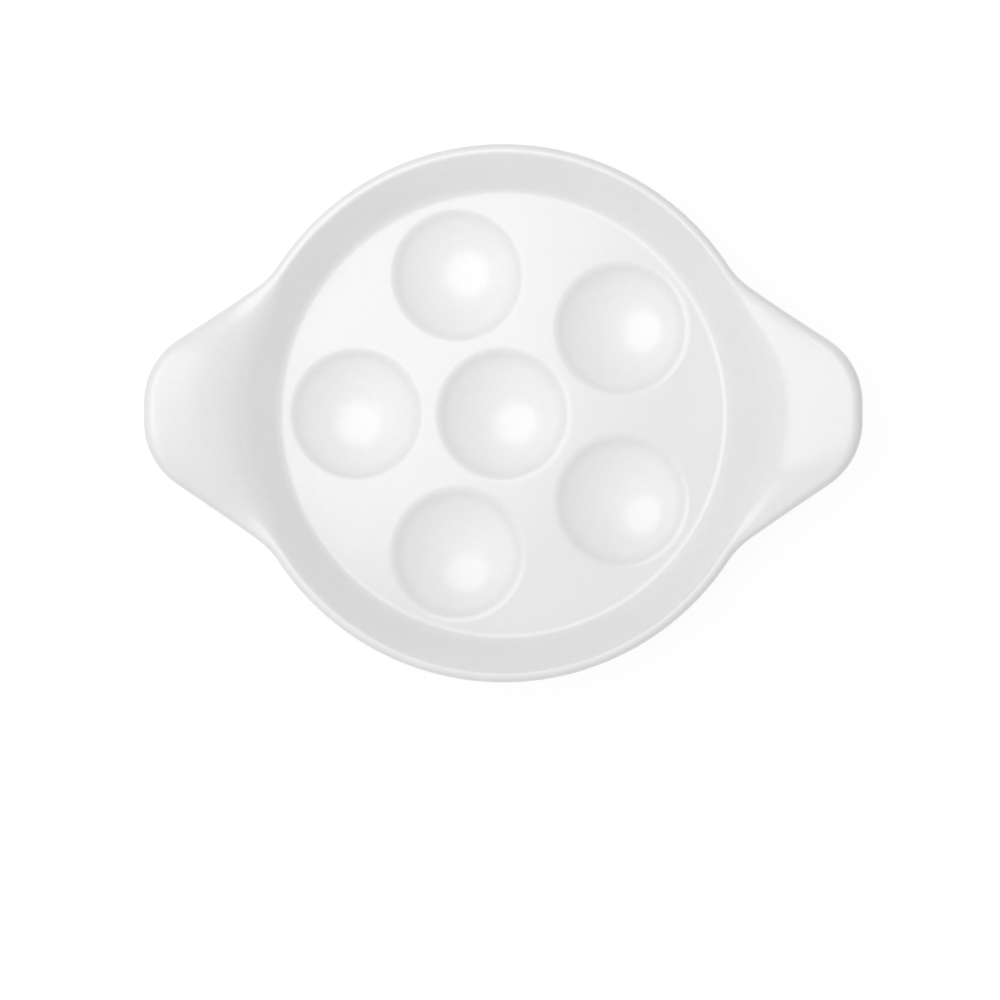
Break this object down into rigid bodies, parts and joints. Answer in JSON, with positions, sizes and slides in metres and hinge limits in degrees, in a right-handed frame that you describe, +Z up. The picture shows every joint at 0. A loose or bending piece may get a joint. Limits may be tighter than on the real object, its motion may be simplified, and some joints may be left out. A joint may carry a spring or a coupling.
{
  "type": "escargot plate",
  "caption": "Round shallow porcelain dish with rounded wells for snails sunk in its flat floor, a sloping wall and upturned lug handles, glazed white all over.",
  "frame": {"origin": "on the plane that the plate stands on, below the middle of the middle well", "axes": "+X through the handles, +Y across the plate to the back of the picture's view from above, +Z up"},
  "size_m": [0.2014, 0.153, 0.0384],
  "materials": {
    "bare_porcelain": "fired and unglazed, fine matt",
    "white_glaze": "glossy white glaze"
  },
  "bodies": {
    "root": {"porcelain_body": "bare_porcelain", "glaze_coat": "white_glaze"}
  },
  "joints": []
}
